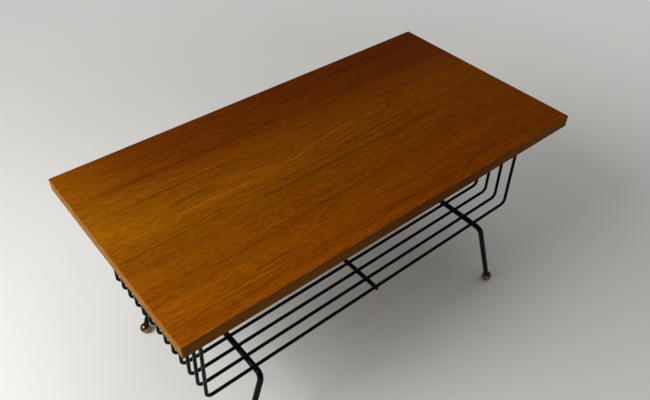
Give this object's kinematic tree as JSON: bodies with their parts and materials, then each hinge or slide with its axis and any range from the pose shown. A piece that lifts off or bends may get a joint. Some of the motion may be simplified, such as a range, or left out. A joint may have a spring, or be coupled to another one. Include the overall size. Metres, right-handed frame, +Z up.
{
  "type": "coffee table",
  "caption": "Low rectangular coffee table: veneered top on an open wire magazine rack, bent-rod leg frames and ball feet.",
  "frame": {"origin": "on the floor, under the middle of the top", "axes": "+X along the table to its right, -Y its front long side, +Z up"},
  "size_m": [0.9, 0.46, 0.474],
  "materials": {
    "face_veneer": "satin oiled teak face veneer, grain along the length",
    "lipping": "satin solid teak",
    "under_veneer": "plain matt balancing veneer",
    "core_board": "raw board, hidden inside the top",
    "black_enamel": "satin black stoved enamel on steel rod",
    "ball_brass": "aged, slightly dulled brass",
    "screw_steel": "plain zinc-plated wood screws"
  },
  "bodies": {
    "root": {"core_board": "core_board", "top_veneer": "face_veneer", "under_veneer": "under_veneer", "lipping_front": "lipping", "lipping_back": "lipping", "lipping_left": "lipping", "lipping_right": "lipping", "fixing_strip_left": "black_enamel", "fixing_strip_right": "black_enamel", "strip_screws_left": "screw_steel", "strip_screws_right": "screw_steel", "rack_rod_01": "black_enamel", "rack_rod_02": "black_enamel", "rack_rod_03": "black_enamel", "rack_rod_04": "black_enamel", "rack_rod_05": "black_enamel", "rack_rod_06": "black_enamel", "rack_rod_07": "black_enamel", "rack_rod_08": "black_enamel", "rack_rod_09": "black_enamel", "rack_rod_10": "black_enamel", "rack_rod_11": "black_enamel", "rack_rod_12": "black_enamel", "rack_rod_13": "black_enamel", "centre_cross_rod": "black_enamel", "leg_frame_left": "black_enamel", "leg_frame_right": "black_enamel", "ball_foot_front_left": "ball_brass", "ball_foot_front_right": "ball_brass", "ball_foot_back_left": "ball_brass", "ball_foot_back_right": "ball_brass"}
  },
  "joints": []
}
